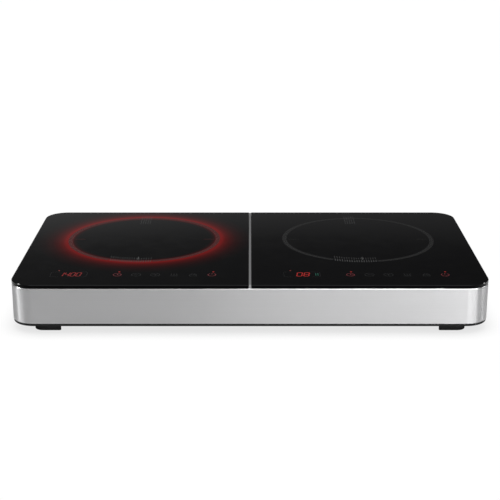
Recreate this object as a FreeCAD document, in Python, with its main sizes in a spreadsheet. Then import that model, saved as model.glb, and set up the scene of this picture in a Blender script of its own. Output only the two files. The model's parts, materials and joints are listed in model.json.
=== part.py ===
import FreeCAD, Part

import math
import os
import re

import Sketcher
from FreeCAD import Rotation, Vector

# Electric induction cooktop with two zones, standing on four feet.
#
# Millimetres.  +Z is up, +X is to the user's right and the user stands on the -Y side.
# The origin is the centre of the footprint, on the surface that the feet stand on.
#
# From the bottom up: rubber pads, feet, a moulded tray, a stainless band round the sides, an
# inner frame that carries the glass, and two glass-ceramic panes with a metal strip between them.
# Under each pane are a coil on its sprung carrier, a power board with a heat sink, a blower and
# the control board of the touch keys.  Both sides have the same insides, one shifted from the other.

DRIVING_SIZES = {
    # outside
    "body_width": 600,
    "body_depth": 332,
    "corner_radius": 30,
    "foot_gap": 9.75,
    "base_lip": 3.5,
    "band_height": 46.15,
    "seal_height": 0.6,
    "pane_thick": 4,
    # glass, strip and seal
    "pane_gap": 3,
    "pane_edge": 0.5,
    "pane_inner_corner": 1.2,
    "strip_play": 0.1,
    "strip_sink": 0.2,
    "strip_end_inset": 2,
    "strip_foot_width": 20,
    "strip_foot_thick": 2,
    "strip_foot_play": 1,
    "seal_inset": 2.5,
    "seal_width": 6,
    # band
    "band_thick": 1.2,
    "band_bend": 1.1,
    "flange_width": 10,
    "vent_width": 3,
    "vent_height": 16,
    "vent_pitch": 7,
    "vent_count": 16,
    "vent_lift": 18,
    # tray
    "lip_inset": 0.6,
    "lip_play": 0.05,
    "lip_edge": 0.5,
    "wall_inset": 2,
    "wall_thick": 2.2,
    "floor_thick": 2.5,
    "tray_height": 15,
    "slot_width": 3,
    "slot_pitch": 6,
    "slot_count": 9,
    "grille_radius": 29,
    "groove_radius": 34,
    "groove_width": 2,
    "groove_depth": 0.6,
    "round_end_play": 0.1,
    "bead_width": 5,
    "bead_length": 250,
    "bead_front": 34,
    "plate_width": 84,
    "plate_depth": 46,
    "plate_corner": 3,
    "seat_radius": 6,
    "seat_height": 2,
    "foot_boss_radius": 5,
    "foot_boss_height": 8,
    # inner frame
    "frame_play": 0.3,
    "frame_flange": 14,
    "frame_flange_thick": 2.2,
    "skirt_thick": 2,
    "skirt_height": 10,
    "crossbar_width": 24,
    "crossbar_thick": 3.2,
    "crossbar_overlap": 2,
    "frame_boss_radius": 4.5,
    # feet
    "foot_size": 34.3,
    "foot_outer_corner": 11,
    "foot_corner": 2,
    "foot_draw_in": 5.5,
    "foot_side_inset": 28.2,
    "foot_front_inset": 10.5,
    "foot_bottom": 0.5,
    "foot_edge": 0.6,
    "pad_radius": 10.5,
    "pad_thick": 3,
    "pad_play": 0.1,
    # fasteners
    "screw_radius": 1.5,
    "screw_head_radius": 3.4,
    "screw_head_height": 1.8,
    "screw_head_edge": 0.6,
    "screw_play": 0.15,
    "head_play": 0.3,
    "thread_play": 0.02,
    "thread_bite": 5,
    "cross_length": 3.8,
    "cross_width": 0.9,
    "cross_depth": 0.9,
    "side_screw_across": 288,
    "side_screw_along": 70,
    "front_screw_across": 60,
    "front_screw_along": 154,
    "housing_screw_sink": 0.5,
    "housing_screw_reach": 14,
    "foot_screw_reach": 12,
    "coil_screw_reach": 30,
    # cooking zones
    "zone_offset": 147.9,
    "zone_shift": 1.5,
    "zone_rear": 31.5,
    "ring_inner": 103,
    "ring_outer": 108,
    "ring_thick": 3,
    "mica_radius": 95,
    "mica_thick": 1,
    "coil_gap": 0.1,
    "wire_diameter": 4.4,
    "turn_pitch": 4.6,
    "turn_count": 15,
    "first_turn": 22,
    "carrier_radius": 93,
    "carrier_thick": 3,
    "carrier_hub": 14,
    "hub_wall": 2,
    "hub_gap": 0.5,
    "arm_radius": 97,
    "arm_width": 14,
    "arm_root": 1,
    "arm_overlap": 12,
    "arm_hole_play": 0.5,
    "window_width": 9,
    "window_length": 42,
    "window_start": 37,
    "ferrite_length": 58,
    "ferrite_turn": 22.5,
    "ferrite_width": 11,
    "ferrite_thick": 5,
    "ferrite_start": 28,
    "ferrite_count": 8,
    "sensor_stem": 5.5,
    "sensor_head": 8,
    "sensor_head_height": 3.9,
    "sensor_gap": 0.1,
    "sensor_edge": 0.8,
    "post_radius": 4.2,
    "post_height": 18,
    "spring_radius": 4.4,
    "spring_wire": 0.6,
    "spring_pitch": 3.6,
    "spring_seat": 0.2,
    # power electronics
    "board_thick": 1.6,
    "board_width": 150,
    "board_depth": 148,
    "board_centre": 44,
    "standoff_height": 6,
    "standoff_radius": 3.5,
    "board_hole_inset": 6,
    "sink_width": 70,
    "sink_length": 90,
    "sink_lift": 5.2,
    "sink_base": 4,
    "sink_height": 18,
    "sink_rear": 24,
    "fin_thick": 1.5,
    "fin_count": 10,
    "sink_shift": 6,
    "case_width": 21,
    "case_depth": 16,
    "case_thick": 4.7,
    "case_shift": 16,
    "case_pitch": 26,
    "case_count": 3,
    "lead_width": 1.2,
    "lead_pitch": 5.4,
    "lead_shift": 27.5,
    "lead_height": 2.4,
    "lead_run": 2.4,
    "lead_run_shift": 27,
    "lead_run_lift": 1.6,
    "lead_run_thick": 0.9,
    "film_width": 18,
    "film_depth": 32,
    "film_height": 22,
    "film_across": 50,
    "film_front": 30,
    "film_pitch": 40,
    "can_radius": 9,
    "can_height": 24,
    "can_across": 60,
    "can_rear": 50,
    "can_edge": 1,
    "choke_outer": 15,
    "choke_inner": 6.5,
    "choke_height": 12,
    "choke_across": 48,
    "choke_rear": 52,
    "choke_edge": 2.4,
    # blower
    "fan_shift": 20,
    "fan_front": 92,
    "fan_lift": 0.3,
    "scroll_radius": 46,
    "scroll_height": 22,
    "scroll_wall": 1.6,
    "duct_left": 14,
    "duct_length": 56,
    "fan_eye": 30,
    "rotor_radius": 39,
    "blade_inner": 31,
    "blade_thick": 1.2,
    "blade_inset": 0.6,
    "blade_lean": 2.2,
    "blade_count": 30,
    "rotor_plate": 1.4,
    "rotor_gap": 1.5,
    "rotor_hub": 9,
    "hub_length": 8,
    "shaft_radius": 2,
    "shaft_play": 0.05,
    "shaft_hole_play": 1.5,
    "shaft_end": 0.5,
    "motor_radius": 14,
    "motor_height": 7.5,
    "motor_edge": 1.2,
    "motor_gap": 0.05,
    "lug_reach": 50,
    "lug_radius": 5,
    "lug_post_inset": 1,
    # controls
    "control_front": 122,
    "control_width": 224,
    "control_depth": 42,
    "control_drop": 9.6,
    "board_gap": 0.1,
    "bracket_thick": 3.2,
    "bracket_rim": 2.5,
    "bracket_play": 0.3,
    "bracket_web": 1.6,
    "bracket_ledge": 6,
    "bracket_leg": 94,
    "bracket_leg_radius": 3,
    "display_width": 46.5,
    "display_depth": 20,
    "display_shift": 83.6,
    "display_front": 123.5,
    "display_edge": 0.4,
    "display_gap": 0.35,
    "key_first": -21.9,
    "key_pitch": 24,
    "key_count": 6,
    "key_front": 125,
    "key_spring_radius": 4,
    "key_spring_wire": 0.45,
    "key_spring_pitch": 2.2,
    # mains inlet
    "gland_height": 35,
    "gland_radius": 7.8,
    "gland_bore": 4,
    "gland_length": 14,
    "gland_play": 0.2,
    "collar_radius": 10,
    "collar_thick": 2.5,
    "collar_gap": 0.1,
    "nut_start": 2,
    "nut_thick": 5,
    "block_width": 46,
    "block_depth": 22,
    "block_height": 18,
    "block_rear": 116,
    "block_poles": 3,
    "pole_pitch": 14,
    "pole_well": 3,
    "pole_front": 4,
    "pole_depth": 10,
    "wire_entry": 2.6,
}

document = FreeCAD.newDocument("InductionCooktop")
sheet = document.addObject("Spreadsheet::Sheet", "Sizes")
for row, (alias, size) in enumerate(DRIVING_SIZES.items(), start=1):
    sheet.set(f"A{row}", alias)
    sheet.set(f"B{row}", str(size))
    sheet.setAlias(f"B{row}", alias)
document.recompute()

# Levels, from the surface that the feet stand on
TRAY_FLOOR = "(foot_gap + floor_thick)"
BAND_BOTTOM = "(foot_gap + base_lip)"
BAND_TOP = f"({BAND_BOTTOM} + band_height)"
PANE_BOTTOM = f"({BAND_TOP} + seal_height)"
PANE_TOP = f"({PANE_BOTTOM} + pane_thick)"
MICA_BOTTOM = f"({PANE_BOTTOM} - coil_gap - mica_thick)"
WINDING_BOTTOM = f"({MICA_BOTTOM} - coil_gap - wire_diameter)"
CARRIER_BOTTOM = f"({WINDING_BOTTOM} - coil_gap - carrier_thick)"
FERRITE_BOTTOM = f"({CARRIER_BOTTOM} - ferrite_thick)"
POST_TOP = f"({TRAY_FLOOR} + post_height)"
BOARD_BOTTOM = f"({TRAY_FLOOR} + standoff_height)"
BOARD_TOP = f"({BOARD_BOTTOM} + board_thick)"
SCROLL_BOTTOM = f"({TRAY_FLOOR} + fan_lift)"
SCROLL_TOP = f"({SCROLL_BOTTOM} + scroll_height)"
CONTROL_BOTTOM = f"({PANE_BOTTOM} - control_drop)"
CONTROL_TOP = f"({CONTROL_BOTTOM} + board_thick)"
SEAT_TOP = f"({TRAY_FLOOR} + seat_height)"

CORNERS = [(-1, -1), (1, -1), (1, 1), (-1, 1)]
SIDES = {"left": -1, "right": 1}
HOUSING_SCREWS = [(f"{along}*{kind}_screw_across", f"{across}*{kind}_screw_along")
                  for kind in ("side", "front") for along, across in CORNERS]

# Two lengths closer than this count as equal
NEAR = 1e-4
# A cut that takes less than this volume counts as none
LEAST_CUT = 1e-3

nodes = []


def linked(expression):
    """An expression with each size's alias pointed at the spreadsheet."""
    def point_at_sheet(match):
        word = match.group(0)
        return f"Sizes.{word}" if word in DRIVING_SIZES else word
    return re.sub(r"[a-z_]+", point_at_sheet, str(expression))


def number(expression):
    """The present value of an expression, in millimetres."""
    result = sheet.evalExpression(linked(expression))
    return float(getattr(result, "Value", result))


def bind(target, **properties):
    """Bind properties of an object; a double underscore stands for a dot."""
    for name, expression in properties.items():
        target.setExpression(name.replace("__", "."), linked(expression))


def as_node(shape_object, node, x="0", y="0", level="0"):
    """Label an object as a sub-part and put it in its place."""
    shape_object.Label = node
    bind(shape_object, Placement__Base__x=x, Placement__Base__y=y, Placement__Base__z=level)
    nodes.append(shape_object)
    return shape_object


class Outline:
    """A sketch on one of a body's origin planes, with every figure driven by the sheet."""

    def __init__(self, piece, level, plane):
        self.plane = plane
        self.sketch = piece.body.newObject("Sketcher::SketchObject", f"{piece.body.Name}_outline")
        origin_plane = next(f for f in piece.body.Origin.OriginFeatures if f.Role == plane)
        self.sketch.AttachmentSupport = [(origin_plane, "")]
        self.sketch.MapMode = "FlatFace"
        sign = "-" if plane == "XZ_Plane" else ""
        bind(self.sketch, AttachmentOffset__Base__z=f"{sign}({level})")

    def drive(self, kind, *arguments, size):
        """Add a constraint whose value is an expression."""
        constraint = Sketcher.Constraint(kind, *arguments, number(size))
        index = self.sketch.addConstraint(constraint)
        self.sketch.setExpression(f"Constraints[{index}]", linked(size))

    def place(self, geometry, point, x, y):
        self.drive("DistanceX", -1, 1, geometry, point, size=x)
        self.drive("DistanceY", -1, 1, geometry, point, size=y)

    def circle(self, radius, x="0", y="0"):
        centre = Vector(number(x), number(y), 0)
        index = self.sketch.addGeometry(Part.Circle(centre, Vector(0, 0, 1), number(radius)))
        self.drive("Radius", index, size=radius)
        self.place(index, 3, x, y)
        return self

    def polygon(self, corners):
        """Straight sides through corners given as pairs of expressions."""
        points = [Vector(number(x), number(y), 0) for x, y in corners]
        count = len(points)
        first = self.sketch.GeometryCount
        for index in range(count):
            self.sketch.addGeometry(Part.LineSegment(points[index], points[(index + 1) % count]))
        for index in range(count):
            following = first + (index + 1) % count
            join = Sketcher.Constraint("Coincident", first + index, 2, following, 1)
            self.sketch.addConstraint(join)
            self.place(first + index, 1, *corners[index])
        return self

    def rectangle(self, width, depth, x="0", y="0"):
        left, right = f"{x} - ({width})/2", f"{x} + ({width})/2"
        front, rear = f"{y} - ({depth})/2", f"{y} + ({depth})/2"
        return self.polygon([(left, front), (right, front), (right, rear), (left, rear)])

    def rounded_rectangle(self, left, right, front, rear, radii):
        """Radii in the order front left, front right, rear right, rear left."""
        low_x, high_x = number(left), number(right)
        low_y, high_y = number(front), number(rear)
        sizes = [number(radius) for radius in radii]
        inward = [(1, 1), (-1, 1), (-1, -1), (1, -1)]
        corners = [(low_x, low_y), (high_x, low_y), (high_x, high_y), (low_x, high_y)]
        centres = []
        for (x, y), (toward_x, toward_y), size in zip(corners, inward, sizes):
            centres.append(Vector(x + toward_x * size, y + toward_y * size, 0))
        first = self.sketch.GeometryCount
        for index, (centre, size) in enumerate(zip(centres, sizes)):
            start = math.radians(180 + 90 * index)
            circle = Part.Circle(centre, Vector(0, 0, 1), size)
            arc = Part.ArcOfCircle(circle, start, start + math.pi / 2)
            following_centre = centres[(index + 1) % 4]
            following_size = sizes[(index + 1) % 4]
            end = start + math.pi / 2
            direction = Vector(math.cos(end), math.sin(end), 0)
            side = Part.LineSegment(centre + direction * size, following_centre + direction * following_size)
            self.sketch.addGeometry(arc)
            self.sketch.addGeometry(side)
        for index in range(4):
            arc = first + 2 * index
            following_arc = first + 2 * ((index + 1) % 4)
            self.sketch.addConstraint(Sketcher.Constraint("Tangent", arc, 2, arc + 1, 1))
            self.sketch.addConstraint(Sketcher.Constraint("Tangent", arc + 1, 2, following_arc, 1))
            direction = "Horizontal" if index % 2 == 0 else "Vertical"
            self.sketch.addConstraint(Sketcher.Constraint(direction, arc + 1))
            self.drive("Radius", arc, size=radii[index])
        front_side, right_side, rear_side, left_side = [first + 2 * index + 1 for index in range(4)]
        self.drive("DistanceY", -1, 1, front_side, 1, size=front)
        self.drive("DistanceY", -1, 1, rear_side, 1, size=rear)
        self.drive("DistanceX", -1, 1, right_side, 1, size=right)
        self.drive("DistanceX", -1, 1, left_side, 1, size=left)
        return self

    def body_outline(self, inset):
        """The cooktop's plan outline, moved in by a distance."""
        half_width = f"(body_width/2 - ({inset}))"
        half_depth = f"(body_depth/2 - ({inset}))"
        radius = f"(corner_radius - ({inset}))"
        return self.rounded_rectangle(f"-{half_width}", half_width, f"-{half_depth}", half_depth,
                                      [radius] * 4)


class Piece:
    """A body whose pads and pockets all run from their sketch towards +Z, +Y or +X."""

    def __init__(self, node, x="0", y="0"):
        self.body = document.addObject("PartDesign::Body", node)
        self.body.AllowCompound = True
        as_node(self.body, node, x, y)

    def outline(self, level="0", plane="XY_Plane"):
        return Outline(self, level, plane)

    def pad(self, outline, length):
        return self.extrude("PartDesign::Pad", outline, length, outline.plane == "XZ_Plane")

    def pocket(self, outline, length):
        return self.extrude("PartDesign::Pocket", outline, length, outline.plane != "XZ_Plane")

    def extrude(self, kind, outline, length, is_reversed):
        feature = self.body.newObject(kind, f"{self.body.Name}_{kind.split('::')[1].lower()}")
        feature.Profile = outline.sketch
        feature.Reversed = is_reversed
        bind(feature, Length=length)
        return feature

    def repeat_round(self, feature, count):
        """Repeat a feature evenly round the body's Z axis."""
        pattern = self.body.newObject("PartDesign::PolarPattern", f"{self.body.Name}_round")
        pattern.Originals = [feature]
        pattern.Axis = (feature.Profile[0], ["N_Axis"])
        pattern.Angle = 360
        bind(pattern, Occurrences=count)
        self.body.Tip = pattern
        return pattern

    def repeat_along(self, feature, axis, length, count):
        """Repeat a feature evenly along an axis of its sketch."""
        pattern = self.body.newObject("PartDesign::LinearPattern", f"{self.body.Name}_row")
        pattern.Originals = [feature]
        pattern.Direction = (feature.Profile[0], [axis])
        bind(pattern, Length=length, Occurrences=count)
        self.body.Tip = pattern
        return pattern

    def dress(self, kind, size, chosen):
        """Fillet or chamfer the edges of the finished shape that a test picks out."""
        document.recompute()
        base = self.body.Tip
        names = [f"Edge{i}" for i, edge in enumerate(base.Shape.Edges, start=1) if chosen(edge)]
        feature = self.body.newObject(f"PartDesign::{kind}", f"{self.body.Name}_{kind.lower()}")
        feature.Base = (base, names)
        bind(feature, **{"Radius" if kind == "Fillet" else "Size": size})
        return feature


def is_level(edge, height):
    """True for an edge that lies flat at a height of its own body."""
    box = edge.BoundBox
    return abs(box.ZMin - height) < NEAR and abs(box.ZMax - height) < NEAR


def is_upright_at(edge, places):
    """True for an upright edge at one of some places, given as pairs of expressions."""
    box = edge.BoundBox
    gaps = []
    for x, y in places:
        x, y = number(x), number(y)
        gaps.append(max(abs(box.XMin - x), abs(box.XMax - x), abs(box.YMin - y), abs(box.YMax - y)))
    return min(gaps) < NEAR


def zone_across(sign):
    """A zone's centre along X; both sides are alike, one shifted from the other."""
    return f"({sign}*zone_offset + zone_shift)"


def arm_place(index):
    """A coil arm's end, from the zone's centre: one to the rear and two to the front."""
    angle = f"{90 + 120 * index} deg"
    return f"arm_radius*cos({angle})", f"arm_radius*sin({angle})"


# ---------------------------------------------------------------- housing


def foot_places():
    x = "(body_width/2 - foot_side_inset - foot_size/2)"
    y = "(body_depth/2 - foot_front_inset - foot_size/2)"
    return [(f"{along}*{x}", f"{across}*{y}") for along, across in CORNERS]


def fan_place(sign):
    return f"({zone_across(sign)} - fan_shift)", "-fan_front"


def board_holes(sign):
    half_width = "(board_width/2 - board_hole_inset)"
    half_depth = "(board_depth/2 - board_hole_inset)"
    return [(f"{zone_across(sign)} + {along}*{half_width}", f"board_centre + {across}*{half_depth}")
            for along, across in CORNERS]


def lug_places(sign):
    """The blower's three lugs: two beside its scroll and one in front of it."""
    x, y = fan_place(sign)
    reach = "lug_reach*cos(45 deg)"
    return [(f"{x} - {reach}", f"{y} - {reach}"), (f"{x} + {reach}", f"{y} - {reach}"),
            (f"{x} - {reach}", f"{y} + {reach}")]


def post_places(sign):
    places = []
    for index in range(3):
        x, y = arm_place(index)
        places.append((f"{zone_across(sign)} + {x}", f"zone_rear + {y}"))
    return places


def make_bottom_housing():
    """Moulded tray: a lip that the band stands on, air grilles, and posts for what it carries."""
    tray = Piece("bottom_housing")
    tray.pad(tray.outline("foot_gap").body_outline("lip_inset"), "base_lip - lip_play")
    tray.dress("Fillet", "lip_edge", lambda edge: is_level(edge, number("foot_gap")))
    tray.pad(tray.outline("foot_gap + lip_edge").body_outline("wall_inset"), "tray_height - lip_edge")
    tray.pocket(tray.outline(TRAY_FLOOR).body_outline("wall_inset + wall_thick"), "tray_height")
    add_tray_posts(tray)
    cut_screw_holes(tray)
    cut_grilles(tray)
    cut_underside_relief(tray)


def add_tray_posts(tray):
    """Seats for the frame's bosses, and posts for the coils, boards, blowers and feet."""
    seats = tray.outline(TRAY_FLOOR)
    for x, y in HOUSING_SCREWS:
        seats.circle("seat_radius", x, y)
    tray.pad(seats, "seat_height")
    posts = tray.outline(TRAY_FLOOR)
    standoffs = tray.outline(TRAY_FLOOR)
    lugs = tray.outline(TRAY_FLOOR)
    for sign in SIDES.values():
        for x, y in post_places(sign):
            posts.circle("post_radius", x, y)
        for x, y in board_holes(sign):
            standoffs.circle("standoff_radius", x, y)
        for x, y in lug_places(sign):
            lugs.circle("lug_radius - lug_post_inset", x, y)
    tray.pad(posts, "post_height")
    tray.pad(standoffs, "standoff_height")
    tray.pad(lugs, "standoff_height")
    foot_bosses = tray.outline(TRAY_FLOOR)
    for x, y in foot_places():
        foot_bosses.circle("foot_boss_radius", x, y)
    tray.pad(foot_bosses, "foot_boss_height")


def cut_screw_holes(tray):
    """Through the floor for the housing and feet, blind from above for the rest."""
    counterbores = tray.outline("foot_gap")
    through = tray.outline("foot_gap")
    for x, y in HOUSING_SCREWS:
        counterbores.circle("screw_head_radius + head_play", x, y)
        through.circle("screw_radius + screw_play", x, y)
    tray.pocket(counterbores, "floor_thick")
    tray.pocket(through, "tray_height")
    threads = tray.outline(f"{TRAY_FLOOR} - floor_thick/2")
    for sign in SIDES.values():
        for x, y in board_holes(sign) + lug_places(sign) + post_places(sign):
            threads.circle("screw_radius + thread_play", x, y)
    tray.pocket(threads, "post_height + floor_thick")
    foot_holes = tray.outline("foot_gap")
    for x, y in foot_places():
        foot_holes.circle("screw_radius + thread_play", x, y)
    tray.pocket(foot_holes, "floor_thick + foot_boss_height")


def cut_grilles(tray):
    """A round grille of slots under each blower's eye, in a shallow ring groove."""
    slots = tray.outline("foot_gap")
    grooves = tray.outline("foot_gap")
    for sign in SIDES.values():
        x, y = fan_place(sign)
        for index in range(int(number("slot_count"))):
            offset = f"({index} - (slot_count - 1)/2)*slot_pitch"
            slots.rectangle("slot_width", f"2*sqrt(grille_radius^2 - ({offset})^2)", f"{x} + {offset}", y)
        grooves.circle("groove_radius", x, y)
        grooves.circle("groove_radius + groove_width", x, y)
    tray.pocket(slots, "floor_thick")
    tray.pocket(grooves, "groove_depth")


def cut_underside_relief(tray):
    """Two stiffening grooves across the floor and a shallow blank recess between them."""
    grooves = tray.outline("foot_gap")
    half = "bead_length/2"
    for side in (-1, 1):
        middle = f"bead_front*{side} + zone_rear"
        grooves.rounded_rectangle(f"-{half}", half, f"{middle} - bead_width/2", f"{middle} + bead_width/2",
                                  ["bead_width/2 - round_end_play"] * 4)
    tray.pocket(grooves, "groove_depth")
    recess = tray.outline("foot_gap")
    recess.rounded_rectangle("-plate_width/2", "plate_width/2", "zone_rear - plate_depth/2",
                             "zone_rear + plate_depth/2", ["plate_corner"] * 4)
    tray.pocket(recess, "groove_depth/2")


def is_top_rim(edge):
    """True for an edge of the outer rim at the top of the band."""
    box = edge.BoundBox
    on_front_or_rear = box.XLength > number("body_width/2") and abs(box.YMax) > number("body_depth/2 - 1")
    on_side = box.YLength > number("body_depth/2") and abs(box.XMax) > number("body_width/2 - 1")
    return is_level(edge, number(BAND_TOP)) and (on_front_or_rear or on_side)


def make_frame_band():
    """Stainless hoop, turned in under the glass, with outlet slots and the cord hole at the rear."""
    band = Piece("frame_band")
    band.pad(band.outline(BAND_BOTTOM).body_outline("0"), "band_height")
    band.pocket(band.outline(BAND_BOTTOM).body_outline("band_thick"), "band_height - band_thick")
    band.pocket(band.outline(BAND_BOTTOM).body_outline("flange_width"), "band_height")
    band.dress("Fillet", "band_bend", is_top_rim)
    run = "vent_pitch*(vent_count - 1)"
    level = f"{BAND_BOTTOM} + vent_lift + vent_height/2"
    behind = "body_depth/2 - 2*band_thick"
    for sign in SIDES.values():
        start = f"{sign}*zone_offset - {run}/2"
        outline = band.outline(behind, "XZ_Plane").rectangle("vent_width", "vent_height", start, level)
        slot = band.pocket(outline, "3*band_thick")
        band.repeat_along(slot, "H_Axis", run, "vent_count")
    cord_hole = band.outline(behind, "XZ_Plane").circle("gland_radius + gland_play", "0", "gland_height")
    band.pocket(cord_hole, "3*band_thick")


def make_inner_frame():
    """Moulded ring under the band's flange, with the bosses that the housing screws bite."""
    frame = Piece("inner_frame")
    outer = "band_thick + frame_play"
    ring_bottom = f"({BAND_TOP} - band_thick - frame_play - frame_flange_thick)"
    frame.pad(frame.outline(ring_bottom).body_outline(outer), "frame_flange_thick")
    frame.pocket(frame.outline(ring_bottom).body_outline(f"{outer} + frame_flange"), "frame_flange_thick")
    crossbar = frame.outline(f"{BAND_TOP} - strip_foot_thick - crossbar_thick - board_gap")
    crossbar.rectangle("crossbar_width", f"body_depth - 2*({outer} + frame_flange - crossbar_overlap)")
    frame.pad(crossbar, "crossbar_thick")
    skirt = frame.outline(f"{ring_bottom} - skirt_height")
    skirt.body_outline(outer)
    skirt.body_outline(f"{outer} + skirt_thick")
    frame.pad(skirt, "skirt_height")
    bosses = frame.outline(f"{SEAT_TOP} + lip_play")
    holes = frame.outline(SEAT_TOP)
    for x, y in HOUSING_SCREWS:
        bosses.circle("frame_boss_radius", x, y)
        holes.circle("screw_radius + thread_play", x, y)
    frame.pad(bosses, f"{ring_bottom} - {SEAT_TOP}")
    frame.pocket(holes, "housing_screw_reach")


def is_foot_rim(edge):
    """True for an edge of a foot's outline at its bottom, outside the pad's recess."""
    reach = max(abs(along) for vertex in edge.Vertexes for along in (vertex.X, vertex.Y))
    return is_level(edge, number("foot_bottom")) and reach > number("pad_radius + pad_play")


def make_feet():
    """Four alike feet, each turned so that its large round corner faces outward."""
    half, inner = "foot_size/2", "(foot_size/2 - foot_draw_in)"
    outer_corner = (f"-{half}", f"-{half}")
    other_corners = [(half, f"-{half}"), (inner, inner), (f"-{half}", half)]
    for index, name in enumerate(("front_left", "front_right", "rear_right", "rear_left")):
        foot = Piece(f"foot_{name}", *foot_places()[index])
        foot.body.Placement.Rotation = Rotation(Vector(0, 0, 1), 90 * index)
        block = foot.outline("foot_bottom").polygon([outer_corner] + other_corners)
        foot.pad(block, "foot_gap - foot_bottom")
        foot.dress("Fillet", "foot_outer_corner", lambda edge: is_upright_at(edge, [outer_corner]))
        foot.dress("Fillet", "foot_corner", lambda edge: is_upright_at(edge, other_corners))
        foot.pocket(foot.outline("foot_bottom").circle("pad_radius"), "pad_thick - foot_bottom")
        head_seat = foot.outline("pad_thick").circle("screw_head_radius + head_play")
        foot.pocket(head_seat, "screw_head_height + head_play")
        foot.pocket(foot.outline("pad_thick").circle("screw_radius + screw_play"), "foot_gap")
        foot.dress("Fillet", "foot_edge", is_foot_rim)


def make_foot_pads():
    """Rubber pads set in the feet, one under each."""
    pads = Piece("foot_pads")
    outline = pads.outline("0")
    for x, y in foot_places():
        outline.circle("pad_radius - pad_play", x, y)
    pads.pad(outline, "pad_thick - lip_play")


def make_screws(node, places, head_bottom, reach, head_up=True):
    """Alike cross-head screws: the shank runs on from under the head, down or up."""
    screws = Piece(node)
    heads = screws.outline(head_bottom)
    shanks = screws.outline(f"{head_bottom} - ({reach})" if head_up else f"{head_bottom} + screw_head_height")
    for x, y in places:
        heads.circle("screw_head_radius", x, y)
        shanks.circle("screw_radius", x, y)
    screws.pad(heads, "screw_head_height")
    screws.pad(shanks, reach)
    head_face = f"{head_bottom} + screw_head_height" if head_up else head_bottom
    screws.dress("Fillet", "screw_head_edge", lambda edge: is_level(edge, number(head_face)))
    recess_level = f"{head_face} - cross_depth" if head_up else head_face
    for width, depth in (("cross_length", "cross_width"), ("cross_width", "cross_length")):
        recess = screws.outline(recess_level)
        for x, y in places:
            recess.rectangle(width, depth, x, y)
        screws.pocket(recess, "cross_depth")


def make_all_screws():
    signs = SIDES.values()
    coil_places = [place for sign in signs for place in post_places(sign)]
    board_places = [place for sign in signs for place in board_holes(sign)]
    fan_places = [place for sign in signs for place in lug_places(sign)]
    lug_top = f"{TRAY_FLOOR} + standoff_height + scroll_wall"
    carrier_top = f"{CARRIER_BOTTOM} + carrier_thick"
    make_screws("foot_screws", foot_places(), "pad_thick + lip_play", "foot_screw_reach", head_up=False)
    make_screws("housing_screws", HOUSING_SCREWS, "foot_gap + housing_screw_sink", "housing_screw_reach",
                head_up=False)
    make_screws("board_screws", board_places, BOARD_TOP, "board_thick + thread_bite")
    make_screws("fan_screws", fan_places, lug_top, "scroll_wall + thread_bite")
    make_screws("coil_screws", coil_places, carrier_top, "carrier_thick + coil_screw_reach")


# ---------------------------------------------------------------- glass


def pane_outline(sketch, sign, inset):
    """One pane's outline: round outside corners, nearly square ones at the strip."""
    outer_corner = f"(corner_radius - ({inset}))"
    inner_corner = "pane_inner_corner"
    half_depth = f"(body_depth/2 - ({inset}))"
    inner, outer = f"(pane_gap/2 + ({inset}))", f"(body_width/2 - ({inset}))"
    if sign < 0:
        radii = [outer_corner, inner_corner, inner_corner, outer_corner]
        return sketch.rounded_rectangle(f"-{outer}", f"-{inner}", f"-{half_depth}", half_depth, radii)
    radii = [inner_corner, outer_corner, outer_corner, inner_corner]
    return sketch.rounded_rectangle(inner, outer, f"-{half_depth}", half_depth, radii)


def make_glass(side, sign):
    """One pane, the bead that it is bonded on, and the light guide under its ring."""
    pane = Piece(f"{side}_glass_pane")
    pane.pad(pane_outline(pane.outline(PANE_BOTTOM), sign, "0"), "pane_thick")
    pane.dress("Chamfer", "pane_edge", lambda edge: is_level(edge, number(PANE_TOP)))

    seal = Piece(f"{side}_glass_seal")
    bead = seal.outline(BAND_TOP)
    pane_outline(bead, sign, "seal_inset")
    pane_outline(bead, sign, "seal_inset + seal_width")
    seal.pad(bead, "seal_height")

    ring = Piece(f"{side}_light_ring", zone_across(sign), "zone_rear")
    guide = ring.outline(f"{PANE_BOTTOM} - ring_thick")
    guide.circle("ring_outer").circle("ring_inner")
    ring.pad(guide, "ring_thick")


def make_divider_strip():
    """Inverted T: a thin web between the panes on a foot that both seals rest on."""
    strip = Piece("divider_strip")
    foot_level = f"{BAND_TOP} - strip_foot_thick"
    foot_length = "body_depth - 2*(band_thick + frame_play + frame_flange) - strip_foot_play"
    strip.pad(strip.outline(foot_level).rectangle("strip_foot_width", foot_length), "strip_foot_thick")
    web = strip.outline(BAND_TOP)
    web.rectangle("pane_gap - 2*strip_play", "body_depth - 2*strip_end_inset")
    strip.pad(web, "seal_height + pane_thick - strip_sink")


# ---------------------------------------------------------------- coils


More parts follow.
